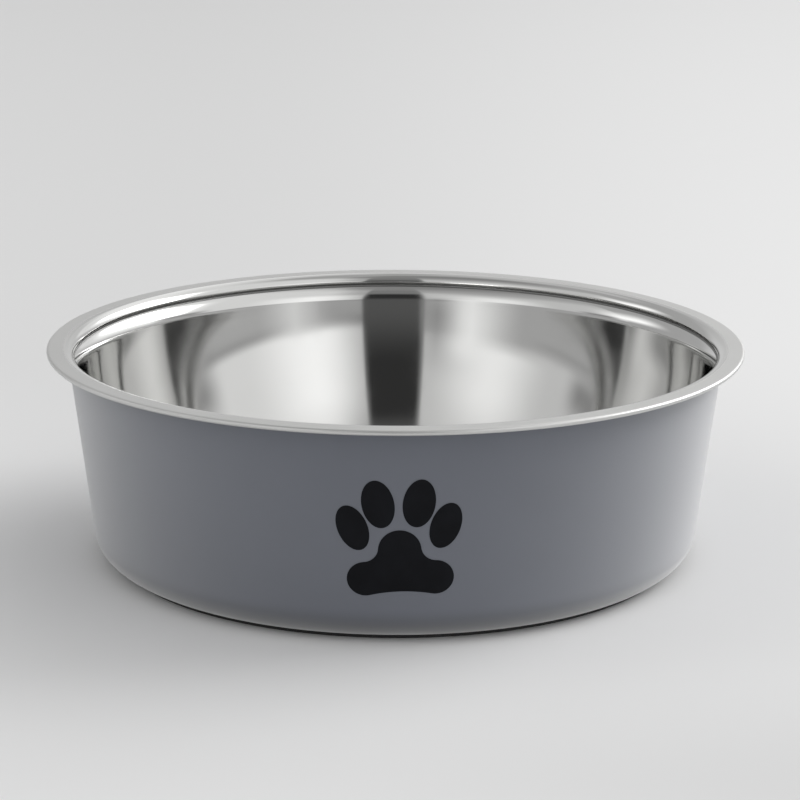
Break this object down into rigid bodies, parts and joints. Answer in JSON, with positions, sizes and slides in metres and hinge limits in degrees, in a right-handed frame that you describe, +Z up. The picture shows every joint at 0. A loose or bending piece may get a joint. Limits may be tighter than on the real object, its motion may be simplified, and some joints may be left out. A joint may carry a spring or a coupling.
{
  "type": "dog bowl",
  "caption": "Round double-walled steel pet bowl with a wide hemmed brim, a tapered coated wall, a printed paw and a rubber ring that pulls off the base.",
  "frame": {"origin": "centre of the base at floor level, under the middle of the foot ring", "axes": "+Z up along the bowl's axis, +X to the right and the printed paw on the -Y side"},
  "size_m": [0.2, 0.2, 0.0615],
  "materials": {
    "polished_steel": "polished stainless steel, satin on the brim",
    "grey_coating": "satin grey coating on steel",
    "sealing_compound": "grey sealing compound",
    "black_rubber": "matt black rubber",
    "black_ink": "satin black ink"
  },
  "bodies": {
    "bowl": {"inner_bowl": "polished_steel", "outer_shell": "grey_coating", "rim_seal": "sealing_compound", "paw_pad": "black_ink", "toe_outer_left": "black_ink", "toe_inner_left": "black_ink", "toe_inner_right": "black_ink", "toe_outer_right": "black_ink"},
    "foot_ring": {"foot_ring": "black_rubber"}
  },
  "joints": [
    {"name": "foot_ring_pull", "type": "slide", "parent": "bowl", "child": "foot_ring", "axis": [0, 0, -1], "range_m": [0, 0.02]}
  ]
}
